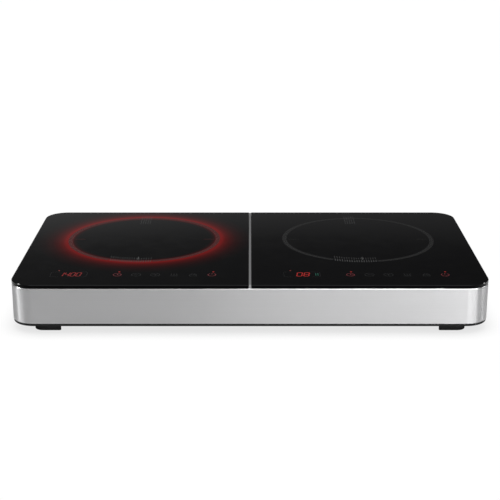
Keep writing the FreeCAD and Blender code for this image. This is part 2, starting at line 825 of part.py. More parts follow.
def make_coil(side, sign):
    """Winding, carrier, ferrites, sensor and springs under one pane."""
    place = zone_across(sign), "zone_rear"

    mica = Piece(f"{side}_mica_sheet", *place)
    mica.pad(mica.outline(MICA_BOTTOM).circle("mica_radius").circle("carrier_hub"), "mica_thick")

    winding = Piece(f"{side}_coil_winding", *place)
    section = winding.outline("0", "XZ_Plane")
    middle = f"{WINDING_BOTTOM} + wire_diameter/2"
    for index in range(int(number("turn_count"))):
        section.circle("wire_diameter/2", f"first_turn + {index}*turn_pitch", middle)
    turns = winding.body.newObject("PartDesign::Revolution", f"{side}_coil_turns")
    turns.Profile = section.sketch
    turns.ReferenceAxis = (section.sketch, ["V_Axis"])
    turns.Angle = 360

    carrier = Piece(f"{side}_coil_carrier", *place)
    carrier.pad(carrier.outline(CARRIER_BOTTOM).circle("carrier_radius"), "carrier_thick")
    arm = carrier.outline(CARRIER_BOTTOM)
    arm.rounded_rectangle("-arm_width/2", "arm_width/2", "carrier_radius - arm_overlap",
                          "arm_radius + arm_width/2", ["arm_root"] * 2 + ["arm_width/2 - round_end_play"] * 2)
    carrier.repeat_round(carrier.pad(arm, "carrier_thick"), 3)
    hub_wall = carrier.outline(CARRIER_BOTTOM).circle("carrier_hub")
    carrier.pad(hub_wall, f"{MICA_BOTTOM} - {CARRIER_BOTTOM} - hub_gap")
    hub_bore = carrier.outline(CARRIER_BOTTOM).circle("carrier_hub - hub_wall")
    carrier.pocket(hub_bore, f"{MICA_BOTTOM} - {CARRIER_BOTTOM}")
    window = carrier.outline(CARRIER_BOTTOM)
    window.rectangle("window_width", "window_length", "0", "window_start + window_length/2")
    opening = carrier.pocket(window, "carrier_thick")
    carrier.repeat_round(opening, "ferrite_count")
    screw_hole = carrier.outline(CARRIER_BOTTOM).circle("screw_radius + arm_hole_play", *arm_place(0))
    carrier.repeat_round(carrier.pocket(screw_hole, "carrier_thick"), 3)

    ferrites = Piece(f"{side}_ferrite_bars", *place)
    ferrites.body.Placement.Rotation = Rotation(Vector(0, 0, 1), number("ferrite_turn"))
    bar = ferrites.outline(FERRITE_BOTTOM)
    bar.rectangle("ferrite_width", "ferrite_length", "0", "ferrite_start + ferrite_length/2")
    ferrites.repeat_round(ferrites.pad(bar, "ferrite_thick"), "ferrite_count")

    sensor = Piece(f"{side}_temperature_sensor", *place)
    head_bottom = f"({PANE_BOTTOM} - sensor_gap - sensor_head_height)"
    sensor.pad(sensor.outline(FERRITE_BOTTOM).circle("sensor_stem"), f"{head_bottom} - {FERRITE_BOTTOM}")
    sensor.pad(sensor.outline(head_bottom).circle("sensor_head"), "sensor_head_height")
    sensor.dress("Fillet", "sensor_edge", lambda edge: is_level(edge, number(f"{PANE_BOTTOM} - sensor_gap")))

    springs = Piece(f"{side}_coil_springs", *place)
    wire_level = f"{POST_TOP} + spring_wire + spring_seat"
    rise = f"{CARRIER_BOTTOM} - {POST_TOP} - 2*(spring_wire + spring_seat)"
    for index in range(3):
        x, y = arm_place(index)
        make_helix(springs, x, y, wire_level, "spring_radius", "spring_wire", "spring_pitch", rise)


def make_helix(piece, x, y, level, radius, wire, pitch, rise):
    """A round-wire coil spring that stands on the point x, y of the body."""
    section = piece.outline(y, "XZ_Plane")
    section.circle(wire, f"{x} + {radius}", level)
    foot, head = Vector(number(x), 0, 0), Vector(number(x), number(PANE_TOP), 0)
    axis = section.sketch.addGeometry(Part.LineSegment(foot, head), True)
    section.place(axis, 1, x, "0")
    section.place(axis, 2, x, PANE_TOP)
    helix = piece.body.newObject("PartDesign::AdditiveHelix", f"{piece.body.Name}_turns")
    helix.Profile = section.sketch
    helix.ReferenceAxis = (section.sketch, ["Axis0"])
    helix.Mode = "pitch-height-angle"
    bind(helix, Pitch=pitch, Height=rise)
    return helix


# ---------------------------------------------------------------- power electronics


def make_power_board(side, sign):
    """The board, with its capacitors and the ring choke of its mains filter."""
    x, y = zone_across(sign), "board_centre"
    board = Piece(f"{side}_power_board", x, y)
    board.pad(board.outline(BOARD_BOTTOM).rectangle("board_width", "board_depth"), "board_thick")
    holes = board.outline(BOARD_BOTTOM)
    for along, across in CORNERS:
        holes.circle("screw_radius + screw_play", f"{along}*(board_width/2 - board_hole_inset)",
                     f"{across}*(board_depth/2 - board_hole_inset)")
    board.pocket(holes, "board_thick")

    capacitors = Piece(f"{side}_capacitors", x, y)
    film = capacitors.outline(BOARD_TOP)
    for index in range(2):
        film.rectangle("film_width", "film_depth", "film_across", f"{index}*film_pitch - film_front")
    capacitors.pad(film, "film_height")
    can = capacitors.outline(BOARD_TOP).circle("can_radius", "-can_across", "can_rear")
    capacitors.pad(can, "can_height")
    capacitors.dress("Fillet", "can_edge", lambda edge: is_level(edge, number(f"{BOARD_TOP} + film_height"))
                     or is_level(edge, number(f"{BOARD_TOP} + can_height")))

    choke = Piece(f"{side}_filter_choke", f"{x} + choke_across", f"{y} + choke_rear")
    core = choke.outline(f"{BOARD_TOP} + board_gap")
    core.circle("choke_outer").circle("choke_inner")
    choke.pad(core, "choke_height")
    choke.dress("Fillet", "choke_edge", lambda edge: edge.BoundBox.ZLength < 0.01)


def make_heat_sink(side, sign):
    """A finned sink on the power transistors, which stand on bent leads on the board."""
    place = f"{zone_across(sign)} - sink_shift", "sink_rear"
    sink = Piece(f"{side}_heat_sink", *place)
    sink_level = f"({BOARD_TOP} + sink_lift)"
    sink.pad(sink.outline(sink_level).rectangle("sink_width", "sink_length"), "sink_base")
    fin = sink.outline(f"{sink_level} + sink_base")
    fin.rectangle("fin_thick", "sink_length", "(fin_thick - sink_width)/2")
    fins = sink.pad(fin, "sink_height - sink_base")
    sink.repeat_along(fins, "H_Axis", "sink_width - fin_thick", "fin_count")

    transistors = Piece(f"{side}_power_transistors", *place)
    cases = transistors.outline(f"{sink_level} - case_thick - board_gap")
    leads = transistors.outline(f"{BOARD_TOP} + lip_play")
    bridges = transistors.outline(f"{BOARD_TOP} + lead_run_lift")
    for index in range(int(number("case_count"))):
        row = f"({index} - (case_count - 1)/2)*case_pitch"
        cases.rectangle("case_width", "case_depth", "-case_shift", row)
        for lead in (-1, 0, 1):
            across = f"{row} + {lead}*lead_pitch"
            leads.rectangle("lead_width", "lead_width", "-lead_shift", across)
            bridges.rectangle("lead_run", "lead_width", "-lead_run_shift", across)
    transistors.pad(cases, "case_thick")
    transistors.pad(leads, "lead_height")
    transistors.pad(bridges, "lead_run_thick")


# ---------------------------------------------------------------- blower


def scroll_outline(sketch, wall):
    """A round scroll with a duct that leaves it to the rear along its right side."""
    radius = f"(scroll_radius - ({wall}))"
    left = f"(duct_left - ({wall}))"
    meet = f"sqrt({radius}^2 - {left}^2)"
    drawing = sketch.sketch
    first = drawing.GeometryCount
    circle = Part.Circle(Vector(0, 0, 0), Vector(0, 0, 1), number(radius))
    start = math.atan2(number(meet), -number(left))
    corners = [("-" + left, meet), (radius, "0"), (radius, "duct_length"), ("-" + left, "duct_length")]
    points = [Vector(number(x), number(y), 0) for x, y in corners]
    drawing.addGeometry(Part.ArcOfCircle(circle, start, 2 * math.pi))
    for begin, end in ((1, 2), (2, 3), (3, 0)):
        drawing.addGeometry(Part.LineSegment(points[begin], points[end]))
    for index in range(4):
        following = first + (index + 1) % 4
        drawing.addConstraint(Sketcher.Constraint("Coincident", first + index, 2, following, 1))
    drawing.addConstraint(Sketcher.Constraint("Coincident", first, 3, -1, 1))
    drawing.addConstraint(Sketcher.Constraint("PointOnObject", first, 2, -1))
    sketch.drive("Radius", first, size=radius)
    drawing.addConstraint(Sketcher.Constraint("Vertical", first + 1))
    drawing.addConstraint(Sketcher.Constraint("Horizontal", first + 2))
    drawing.addConstraint(Sketcher.Constraint("Vertical", first + 3))
    sketch.drive("DistanceX", -1, 1, first + 3, 1, size=f"-{left}")
    sketch.drive("DistanceY", -1, 1, first + 3, 1, size="duct_length")
    return sketch


def make_blower(side, sign):
    """The scroll with its lugs, the bladed rotor in it, and the motor on top."""
    place = fan_place(sign)
    housing = Piece(f"{side}_fan_housing", *place)
    housing.pad(scroll_outline(housing.outline(SCROLL_BOTTOM), "0"), "scroll_height")
    lug_level = f"{TRAY_FLOOR} + standoff_height"
    lugs = housing.outline(lug_level)
    lug_holes = housing.outline(lug_level)
    reach = "lug_reach*cos(45 deg)"
    lug_centres = [(f"-{reach}", f"-{reach}"), (reach, f"-{reach}"), (f"-{reach}", reach)]
    for x, y in lug_centres:
        lugs.circle("lug_radius", x, y)
        lug_holes.circle("screw_radius + screw_play", x, y)
    housing.pad(lugs, "scroll_wall")
    housing.pocket(lug_holes, "scroll_wall")
    cavity = f"{SCROLL_BOTTOM} + scroll_wall"
    housing.pocket(scroll_outline(housing.outline(cavity), "scroll_wall"), "scroll_height - 2*scroll_wall")
    housing.pocket(housing.outline(SCROLL_BOTTOM).circle("fan_eye"), "scroll_wall")
    housing.pocket(housing.outline(cavity).circle("shaft_radius + shaft_hole_play"), "scroll_height")

    rotor = Piece(f"{side}_fan_rotor", *place)
    ring_level = f"({SCROLL_BOTTOM} + scroll_wall + rotor_gap)"
    plate_level = f"({SCROLL_TOP} - scroll_wall - rotor_gap - rotor_plate)"
    ring = rotor.outline(ring_level).circle("rotor_radius").circle("blade_inner")
    rotor.pad(ring, "rotor_plate")
    blade = rotor.outline(f"{ring_level} + rotor_plate")
    half = "blade_thick/2"
    near, far = "blade_inner + blade_inset", "rotor_radius - blade_inset"
    blade.polygon([(near, f"-{half}"), (far, f"blade_lean - {half}"), (far, f"blade_lean + {half}"),
                   (near, half)])
    blades = rotor.pad(blade, f"{plate_level} - {ring_level} - rotor_plate")
    rotor.repeat_round(blades, "blade_count")
    rotor.pad(rotor.outline(plate_level).circle("rotor_radius"), "rotor_plate")
    rotor.pad(rotor.outline(f"{plate_level} - hub_length").circle("rotor_hub"), "hub_length")
    rotor.pocket(rotor.outline(ring_level).circle("shaft_radius + shaft_play"), "scroll_height")

    motor = Piece(f"{side}_fan_motor", *place)
    motor_level = f"{SCROLL_TOP} + motor_gap"
    motor.pad(motor.outline(motor_level).circle("motor_radius"), "motor_height")
    motor.dress("Fillet", "motor_edge", lambda edge: is_level(edge, number(f"{motor_level} + motor_height")))
    shaft_level = f"({plate_level} - hub_length - shaft_end)"
    shaft = motor.outline(shaft_level).circle("shaft_radius")
    motor.pad(shaft, f"{motor_level} + motor_height/2 - {shaft_level}")


# ---------------------------------------------------------------- controls


def make_controls(side, sign):
    """The board of the touch keys in its bracket, with the display and a spring under each key."""
    zone = zone_across(sign)
    place = zone, "-control_front"

    board = Piece(f"{side}_control_board", *place)
    board.pad(board.outline(CONTROL_BOTTOM).rectangle("control_width", "control_depth"), "board_thick")

    bracket = Piece(f"{side}_control_bracket", *place)
    bracket_level = f"({CONTROL_BOTTOM} - bracket_thick - board_gap)"
    tub = bracket.outline(bracket_level)
    tub.rectangle("control_width + 2*bracket_rim", "control_depth + 2*bracket_rim")
    bracket.pad(tub, "bracket_thick + board_thick")
    inside = bracket.outline(f"{bracket_level} + bracket_thick")
    inside.rectangle("control_width + 2*bracket_play", "control_depth + 2*bracket_play")
    bracket.pocket(inside, "2*board_thick")
    relief = bracket.outline(f"{bracket_level} + bracket_web")
    relief.rectangle("control_width - 2*bracket_ledge", "control_depth - 2*bracket_ledge")
    bracket.pocket(relief, "bracket_thick")
    legs = bracket.outline(f"{TRAY_FLOOR} + board_gap")
    leg_front = "(control_depth/2 - bracket_leg_radius)"
    for along, across in CORNERS:
        legs.circle("bracket_leg_radius", f"{along}*bracket_leg", f"{across}*{leg_front}")
    bracket.pad(legs, f"{bracket_level} - {TRAY_FLOOR} + bracket_web/2")

    display = Piece(f"{side}_display_module", f"{zone} - display_shift", "-display_front")
    block = display.outline(f"{CONTROL_TOP} + lip_play").rectangle("display_width", "display_depth")
    display.pad(block, "control_drop - board_thick - lip_play - display_gap")
    face = f"{PANE_BOTTOM} - display_gap"
    display.dress("Chamfer", "display_edge", lambda edge: is_level(edge, number(face)))

    keys = Piece(f"{side}_touch_springs", zone, "-key_front")
    level = f"{CONTROL_TOP} + key_spring_wire + board_gap"
    rise = "control_drop - board_thick - 2*key_spring_wire - 3*board_gap"
    for index in range(int(number("key_count"))):
        make_helix(keys, f"key_first + {index}*key_pitch", "0", level,
                   "key_spring_radius", "key_spring_wire", "key_spring_pitch", rise)


# ---------------------------------------------------------------- mains inlet


def make_mains_inlet():
    """A bushing clamped in the band's rear wall and the block that the mains wires end in."""
    gland = Piece("cord_gland")
    start = "body_depth/2 - gland_length"
    gland.pad(gland.outline(start, "XZ_Plane").circle("gland_radius", "0", "gland_height"), "gland_length")
    collar = gland.outline("body_depth/2 - band_thick - collar_gap - collar_thick", "XZ_Plane")
    gland.pad(collar.circle("collar_radius", "0", "gland_height"), "collar_thick")
    nut = gland.outline(f"{start} + nut_start", "XZ_Plane")
    points = []
    for index in range(6):
        angle = f"{60 * index} deg"
        points.append((f"collar_radius*cos({angle})", f"gland_height + collar_radius*sin({angle})"))
    nut.polygon(points)
    gland.pad(nut, "nut_thick")
    bore = gland.outline(start, "XZ_Plane").circle("gland_bore", "0", "gland_height")
    gland.pocket(bore, "gland_length")

    block = Piece("terminal_block", "0", "block_rear")
    block_level = f"({TRAY_FLOOR} + board_gap)"
    block.pad(block.outline(block_level).rectangle("block_width", "block_depth"), "block_height")
    wells = block.outline(f"{block_level} + block_height - pole_depth")
    entries = block.outline("0", "XZ_Plane")
    for index in range(int(number("block_poles"))):
        x = f"({index} - (block_poles - 1)/2)*pole_pitch"
        wells.circle("pole_well", x, "-pole_front")
        entries.circle("wire_entry", x, f"{block_level} + block_height - pole_depth")
    block.pocket(wells, "pole_depth")
    block.pocket(entries, "block_depth")


def check_document():
    """Stop if any feature failed, cut nothing, or left a sub-part without a sound solid."""
    for item in document.Objects:
        if any(state in ("Invalid", "Error") for state in item.State):
            raise RuntimeError(f"{item.Label} failed: {item.State}")
        if item.TypeId == "PartDesign::Pocket":
            before = item.BaseFeature.Shape.Volume
            if item.Shape.Volume > before - LEAST_CUT:
                raise RuntimeError(f"{item.Label} cuts nothing")
    for node in nodes:
        if node.Shape.isNull() or not node.Shape.isValid() or not node.Shape.Solids:
            raise RuntimeError(f"{node.Label} has no sound solid")


make_bottom_housing()
make_frame_band()
make_inner_frame()
make_feet()
make_foot_pads()
make_divider_strip()
make_mains_inlet()
for side_name, side_sign in SIDES.items():
    make_glass(side_name, side_sign)
    make_coil(side_name, side_sign)
    make_power_board(side_name, side_sign)
    make_heat_sink(side_name, side_sign)
    make_blower(side_name, side_sign)
    make_controls(side_name, side_sign)
make_all_screws()

document.recompute()
check_document()
os.makedirs("parts", exist_ok=True)
for node in nodes:
    node.Shape.exportStep(f"parts/{node.Label}.step")
    print(f"{node.Label}: {len(node.Shape.Solids)} solids, {node.Shape.Volume / 1000:.2f} cm3")
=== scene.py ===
import json
import math

import bmesh
import bpy
from mathutils import Euler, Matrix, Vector


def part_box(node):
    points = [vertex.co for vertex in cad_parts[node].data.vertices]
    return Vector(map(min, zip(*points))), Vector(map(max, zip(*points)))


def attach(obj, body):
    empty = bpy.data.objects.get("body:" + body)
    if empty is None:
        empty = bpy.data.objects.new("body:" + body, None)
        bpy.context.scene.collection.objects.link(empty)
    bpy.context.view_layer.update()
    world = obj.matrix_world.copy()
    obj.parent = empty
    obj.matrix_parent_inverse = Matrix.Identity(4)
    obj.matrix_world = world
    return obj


# The looks of a two-zone induction cooktop: glass-ceramic panes with printed marks and lights
# that shine through them, in a satin metal band on a moulded black base.
# Metres.  The frame is the cooktop's own: +X to the user's right, +Y to the rear, +Z up.

MM = 0.001
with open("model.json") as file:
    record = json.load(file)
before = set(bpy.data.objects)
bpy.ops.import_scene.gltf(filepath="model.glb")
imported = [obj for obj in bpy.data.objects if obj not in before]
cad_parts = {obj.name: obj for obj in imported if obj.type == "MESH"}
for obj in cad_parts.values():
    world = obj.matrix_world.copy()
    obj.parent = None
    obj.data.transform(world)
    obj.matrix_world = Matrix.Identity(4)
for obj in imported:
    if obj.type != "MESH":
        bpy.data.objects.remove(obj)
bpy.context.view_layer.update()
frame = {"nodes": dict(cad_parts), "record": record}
nodes = frame["nodes"]

GLASS_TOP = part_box("left_glass_pane")[1].z
PRINT_THICKNESS = 0.03 * MM
PRINT_SINK = 0.01 * MM


def centre_of(node):
    low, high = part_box(node)
    return (low + high) / 2


# ---------------------------------------------------------------- materials


def fill_ramp(ramp, stops):
    """Give a colour ramp its stops: (place from 0 to 1, colour or grey level)."""
    elements = ramp.color_ramp.elements
    while len(elements) < len(stops):
        elements.new(0.5)
    for element, (place, level) in zip(elements, stops):
        colour = level if isinstance(level, tuple) else (level, level, level)
        element.position = place
        element.color = (*colour, 1.0)


class ShaderTree:
    """The nodes of a material or a world, each made and wired in one call."""

    def __init__(self, tree):
        self.tree = tree

    def link(self, value, socket):
        self.tree.links.new(value, socket)

    def node(self, kind, settings=None, values=(), **inputs):
        """A node; its inputs are named, or given in order where several share one name."""
        made = self.tree.nodes.new(f"ShaderNode{kind}")
        for name, value in (settings or {}).items():
            setattr(made, name, value)
        pairs = [(made.inputs[index], value) for index, value in enumerate(values)]
        pairs += [(made.inputs[name.replace("_", " ")], value) for name, value in inputs.items()]
        for socket, value in pairs:
            if isinstance(value, bpy.types.NodeSocket):
                self.link(value, socket)
            else:
                socket.default_value = value
        return made

    def vector_math(self, operation, *values):
        """The vector that an operation makes of its operands."""
        return self.node("VectorMath", {"operation": operation}, values).outputs["Vector"]


class Material(ShaderTree):
    """A Principled material with short calls for what varies over its surface."""

    def __init__(self, name, colour, roughness=0.5, metallic=0.0, **inputs):
        self.material = bpy.data.materials.new(name)
        self.material.use_nodes = True
        super().__init__(self.material.node_tree)
        self.shader = self.tree.nodes["Principled BSDF"]
        self.coordinates = self.node("TexCoord").outputs["Object"]
        self.set("Base Color", (*colour, 1.0))
        self.set("Roughness", roughness)
        self.set("Metallic", metallic)
        for key, value in inputs.items():
            self.set(key.replace("_", " "), value)

    def set(self, socket, value):
        self.shader.inputs[socket].default_value = value

    def drive(self, socket, value):
        self.link(value, self.shader.inputs[socket])

    def stretched(self, scale):
        """The object's own coordinates in metres, scaled per axis."""
        return self.node("Mapping", Vector=self.coordinates, Scale=scale).outputs[0]

    def noise(self, scale, detail=4.0, vector=None):
        return self.node("TexNoise", Vector=vector or self.coordinates, Scale=scale, Detail=detail,
                         Roughness=0.55).outputs["Fac"]

    def upward(self):
        """How far the surface faces up: 1 on top, 0 on the sides."""
        normal = self.node("NewGeometry").outputs["Normal"]
        return self.node("SeparateXYZ", Vector=normal).outputs["Z"]

    def spread(self, value, low, high, start=0.3, end=0.7):
        """Map start..end, by default a texture's middle range, onto low..high."""
        return self.node("MapRange", Value=value, From_Min=start, From_Max=end,
                         To_Min=low, To_Max=high).outputs[0]

    def vary(self, socket, value, low, high):
        """Let a texture move an input between two values."""
        self.drive(socket, self.spread(value, low, high))

    def tint(self, value, dark, light, start=0.3, end=0.7):
        """Blend the base colour between two colours."""
        ramp = self.node("ValToRGB", Fac=self.spread(value, 0.0, 1.0, start, end))
        fill_ramp(ramp, [(0.0, dark), (1.0, light)])
        self.drive("Base Color", ramp.outputs["Color"])

    def bump(self, value, depth, strength):
        """Raise the surface by a height in metres."""
        raised = self.node("Bump", Height=value, Distance=depth, Strength=strength)
        self.drive("Normal", raised.outputs["Normal"])

    def glow(self, colour, strength):
        self.set("Emission Color", (*colour, 1.0))
        self.set("Emission Strength", strength)


def make_glass_ceramic(name, glow_centre=None):
    """Polished black glass-ceramic; with a glow centre, a painted red glow on its top stands in
    for the lit ring under it.
    """
    glass = Material(name, (0.0022, 0.0022, 0.0024), roughness=0.05, IOR=1.5)
    smears = glass.noise(38.0, detail=5.0)
    glass.vary("Roughness", smears, 0.035, 0.085)
    glass.tint(glass.noise(900.0, detail=2.0), (0.0018, 0.0018, 0.002), (0.003, 0.003, 0.0033))
    glass.bump(glass.noise(55.0, detail=1.0), 0.004 * MM, 0.4)
    # Painted shade: the specular tint falls to nothing where the faces turn away from up, so the
    # pane's edges show dark
    glass.drive("Specular Tint", glass.spread(glass.upward(), 0.0, 1.0, 0.62, 0.96))
    if glow_centre is not None:
        paint_ring_glow(glass, glow_centre)
    return glass.material


# How strongly the painted glow on the glass shines, by the distance in millimetres from the zone's
# centre, and
#  the distance in metres that the glow is drawn within
GLOW_LEVELS = [(92, 0.0), (97, 0.10), (101, 0.75), (104.5, 1.0), (108, 0.9), (112, 0.5),
               (118, 0.26), (126, 0.10), (136, 0.03), (148, 0.0)]
GLOW_REACH = 0.15
GLOW_STRENGTH = 0.15


def paint_ring_glow(glass, centre):
    """Painted glow: emission on the glass that peaks over the light guide and fades to both sides
    of it.
    """
    offset = glass.vector_math("SUBTRACT", glass.coordinates, (centre.x, centre.y, GLASS_TOP))
    flat = glass.vector_math("MULTIPLY", offset, (1.0, 1.0, 0.0))
    length = glass.node("VectorMath", {"operation": "LENGTH"}, [flat]).outputs["Value"]
    scaled = glass.node("Math", {"operation": "DIVIDE"}, [length, GLOW_REACH]).outputs[0]
    ramp = glass.node("ValToRGB", Fac=scaled)
    # The light turns a little less pure where it is strongest
    reds = [(level, 0.02 * level * level, 0.018 * level * level) for _, level in GLOW_LEVELS]
    places = [radius * MM / GLOW_REACH for radius, _ in GLOW_LEVELS]
    fill_ramp(ramp, list(zip(places, reds)))
    glass.drive("Emission Color", ramp.outputs["Color"])
    glass.set("Emission Strength", GLOW_STRENGTH)


def make_brushed_band():
    """Satin stainless steel, brushed along the band: highlights draw out across the brushing."""
    steel = Material("brushed_band", (0.60, 0.60, 0.606), roughness=0.36, metallic=1.0,
                     Anisotropic=1.0, Anisotropic_Rotation=0.25)
    tangent = steel.node("Tangent", {"direction_type": "RADIAL", "axis": "Z"})
    steel.drive("Tangent", tangent.outputs[0])
    lines = steel.noise(1.0, detail=3.0, vector=steel.stretched((9.0, 9.0, 6500.0)))
    broad = steel.noise(1.0, detail=2.0, vector=steel.stretched((14.0, 14.0, 300.0)))
    steel.tint(lines, (0.585, 0.585, 0.591), (0.615, 0.615, 0.621))
    steel.vary("Roughness", broad, 0.35, 0.37)
    # Painted highlight: the rim's faces that look up get a near-white base colour, standing in for
    # the light from above that they catch
    brushed = steel.shader.inputs["Base Color"].links[0].from_socket
    rim = steel.spread(steel.upward(), 0.0, 1.0, 0.1, 0.4)
    painted_rim_highlight = steel.node("MixRGB", Fac=rim, Color1=brushed, Color2=(0.95, 0.95, 0.955, 1.0))
    steel.drive("Base Color", painted_rim_highlight.outputs["Color"])
    steel.bump(lines, 0.003 * MM, 0.35)
    return steel.material


def make_strip_metal():
    """Satin aluminium, drawn along the strip."""
    strip = Material("strip_metal", (0.36, 0.36, 0.365), roughness=0.38, metallic=0.85)
    lines = strip.noise(1.0, detail=2.0, vector=strip.stretched((4200.0, 8.0, 4200.0)))
    strip.tint(lines, (0.32, 0.32, 0.325), (0.42, 0.42, 0.425))
    strip.bump(lines, 0.004 * MM, 0.5)
    return strip.material


def make_moulded(name, dark, light, roughness=(0.42, 0.56), grain=0.35, depth=0.02, gloss=0.5):
    """Moulded plastic or rubber: a spark-eroded grain, its pitch and depth in millimetres."""
    plastic = Material(name, light, roughness=sum(roughness) / 2, Specular_IOR_Level=gloss)
    texture = plastic.node("TexVoronoi", Vector=plastic.coordinates, Scale=1.0 / (grain * MM))
    cloud = plastic.noise(24.0, detail=3.0)
    plastic.tint(cloud, dark, light)
    plastic.vary("Roughness", cloud, *roughness)
    plastic.bump(texture.outputs["Distance"], depth * MM, 0.6)
    return plastic.material


def make_metal(name, dark, light, roughness, stretch=(900.0, 900.0, 900.0), depth=0.003):
    """Bare or plated metal with fine scratches or drawing lines, stretched per axis."""
    metal = Material(name, light, roughness=sum(roughness) / 2, metallic=1.0)
    lines = metal.noise(1.0, vector=metal.stretched(stretch))
    metal.tint(lines, dark, light)
    metal.vary("Roughness", metal.noise(60.0), *roughness)
    metal.bump(lines, depth * MM, 0.5)
    return metal.material


def make_litz():
    """Enamelled copper strands twisted into a rope: slanted bands round every turn."""
    copper = Material("copper", (0.62, 0.28, 0.13), roughness=0.35, metallic=0.9)
    strands = copper.node("TexWave", {"wave_type": "BANDS", "bands_direction": "DIAGONAL"},
                          Vector=copper.coordinates, Scale=420.0, Distortion=1.5, Detail=2.0)
    copper.tint(strands.outputs["Fac"], (0.32, 0.12, 0.05), (0.72, 0.36, 0.17))
    copper.bump(strands.outputs["Fac"], 0.15 * MM, 0.7)
    return copper.material


def make_circuit_board():
    """Green solder mask over copper tracks."""
    board = Material("circuit_board", (0.02, 0.14, 0.05), roughness=0.3, Coat_Weight=0.4)
    tracks = board.node("TexBrick", Vector=board.coordinates, Scale=90.0, Mortar_Size=0.035)
    board.tint(tracks.outputs["Fac"], (0.012, 0.11, 0.045), (0.03, 0.2, 0.08), 0.2, 0.8)
    board.bump(tracks.outputs["Fac"], 0.03 * MM, 0.6)
    return board.material


def make_mica():
    """Pressed mica: overlapping pale flakes."""
    mica = Material("mica", (0.6, 0.53, 0.4), roughness=0.4, Sheen_Weight=0.2)
    flakes = mica.node("TexVoronoi", Vector=mica.coordinates, Scale=160.0).outputs["Distance"]
    mica.tint(flakes, (0.48, 0.41, 0.29), (0.7, 0.63, 0.5), 0.1, 0.9)
    mica.bump(flakes, 0.05 * MM, 0.4)
    return mica.material


def make_light_guide():
    """Red acrylic, a little hazy."""
    guide = Material("light_guide", (0.55, 0.05, 0.04), roughness=0.25, IOR=1.49)
    haze = guide.noise(300.0, detail=3.0)
    guide.tint(haze, (0.42, 0.03, 0.025), (0.62, 0.08, 0.06))
    guide.vary("Roughness", haze, 0.2, 0.34)
    return guide.material


def make_printed(name, colour, roughness, lit=0.0):
    """Enamel printed on glass through a fine screen; when lit, a painted red glow on it stands in
    for light from under it shining through.
    """
    lighter = tuple(min(1.0, part * 1.25) for part in colour)
    enamel = Material(name, colour, roughness=roughness)
    dots = enamel.node("TexVoronoi", Vector=enamel.coordinates, Scale=2600.0).outputs["Distance"]
    enamel.tint(dots, colour, lighter, 0.1, 0.8)
    enamel.vary("Roughness", dots, roughness - 0.06, roughness + 0.08)
    if lit:
        enamel.glow((1.0, 0.03, 0.03), lit)
    return enamel.material


def make_lamp(name, colour, strength):
    """Light that shines through dark glass, from a slightly uneven diffuser."""
    unlit, dark, light = (tuple(share * part for part in colour) for share in (0.1, 0.06, 0.12))
    lamp = Material(name, unlit, roughness=0.3)
    lamp.tint(lamp.noise(700.0), dark, light)
    lamp.glow(colour, strength)
    return lamp.material


# The looks of each moulded slot, and of each slot of bare or plated metal
MOULDED = {
    "black_plastic": dict(dark=(0.006, 0.006, 0.0065), light=(0.010, 0.010, 0.0105), gloss=0.2),
    "foot_plastic": dict(dark=(0.006, 0.006, 0.0065), light=(0.010, 0.010, 0.0105), gloss=0.3),
    "black_rubber": dict(dark=(0.012, 0.012, 0.012), light=(0.022, 0.022, 0.021),
                         roughness=(0.7, 0.86), grain=0.6, depth=0.03),
    "white_plastic": dict(dark=(0.7, 0.69, 0.62), light=(0.8, 0.79, 0.73), grain=0.5),
    "silicone": dict(dark=(0.42, 0.42, 0.4), light=(0.55, 0.55, 0.53),
                     roughness=(0.5, 0.65), grain=0.8),
    "carrier_plastic": dict(dark=(0.42, 0.4, 0.35), light=(0.52, 0.5, 0.44), grain=0.6),
    "ferrite": dict(dark=(0.03, 0.03, 0.034), light=(0.07, 0.07, 0.075),
                    roughness=(0.55, 0.75), grain=0.25),
    "component_black": dict(dark=(0.014, 0.014, 0.016), light=(0.026, 0.026, 0.028)),
    "component_grey": dict(dark=(0.12, 0.16, 0.3), light=(0.17, 0.22, 0.38),
                           roughness=(0.25, 0.35)),
}
METALS = {
    "screw_steel": dict(dark=(0.5, 0.5, 0.46), light=(0.66, 0.66, 0.62), roughness=(0.25, 0.4)),
    "spring_steel": dict(dark=(0.5, 0.5, 0.5), light=(0.68, 0.68, 0.68), roughness=(0.16, 0.28)),
    "aluminium": dict(dark=(0.6, 0.61, 0.63), light=(0.74, 0.75, 0.77), roughness=(0.28, 0.42),
                      stretch=(2400.0, 12.0, 2400.0), depth=0.01),
    "motor_steel": dict(dark=(0.1, 0.1, 0.11), light=(0.16, 0.16, 0.17), roughness=(0.35, 0.5)),
}


def make_slot_materials():
    """One material for each material slot of the record."""
    made = {slot: make_moulded(slot, **looks) for slot, looks in MOULDED.items()}
    made.update((slot, make_metal(slot, **looks)) for slot, looks in METALS.items())
    made.update({
        "black_glass": make_glass_ceramic("black_glass"),
        "brushed_band": make_brushed_band(),
        "strip_metal": make_strip_metal(),
        "light_guide": make_light_guide(),
        "mica": make_mica(),
        "copper": make_litz(),
        "circuit_board": make_circuit_board(),
    })
    return made


SHARP_ANGLE = 18  # degrees


def smooth_shading(piece):
    """Shade flat faces and the round corners that run into them without a step between them."""
    weld = piece.modifiers.new("weld", "WELD")
    weld.merge_threshold = 0.001 * MM
    split = piece.modifiers.new("sharp edges", "EDGE_SPLIT")
    split.split_angle = math.radians(SHARP_ANGLE)
    piece.modifiers.new("weighted normals", "WEIGHTED_NORMAL").weight = 100


def dress_cad_nodes():
    """Give every carried-over node the material of its slot, and the lit side its own glass."""
    made = make_slot_materials()
    for entry in frame["record"]["subparts"]:
        piece = nodes[entry["node"]]
        piece.data.materials.clear()
        piece.data.materials.append(made[entry["material_slot"]])
    for node in ("frame_band", "left_glass_pane", "right_glass_pane"):
        smooth_shading(nodes[node])
    lit_glass = make_glass_ceramic("black_glass_lit", centre_of("left_light_ring"))
    nodes["left_glass_pane"].data.materials[0] = lit_glass


# ---------------------------------------------------------------- marks on the glass


DOT_CORNERS = 20


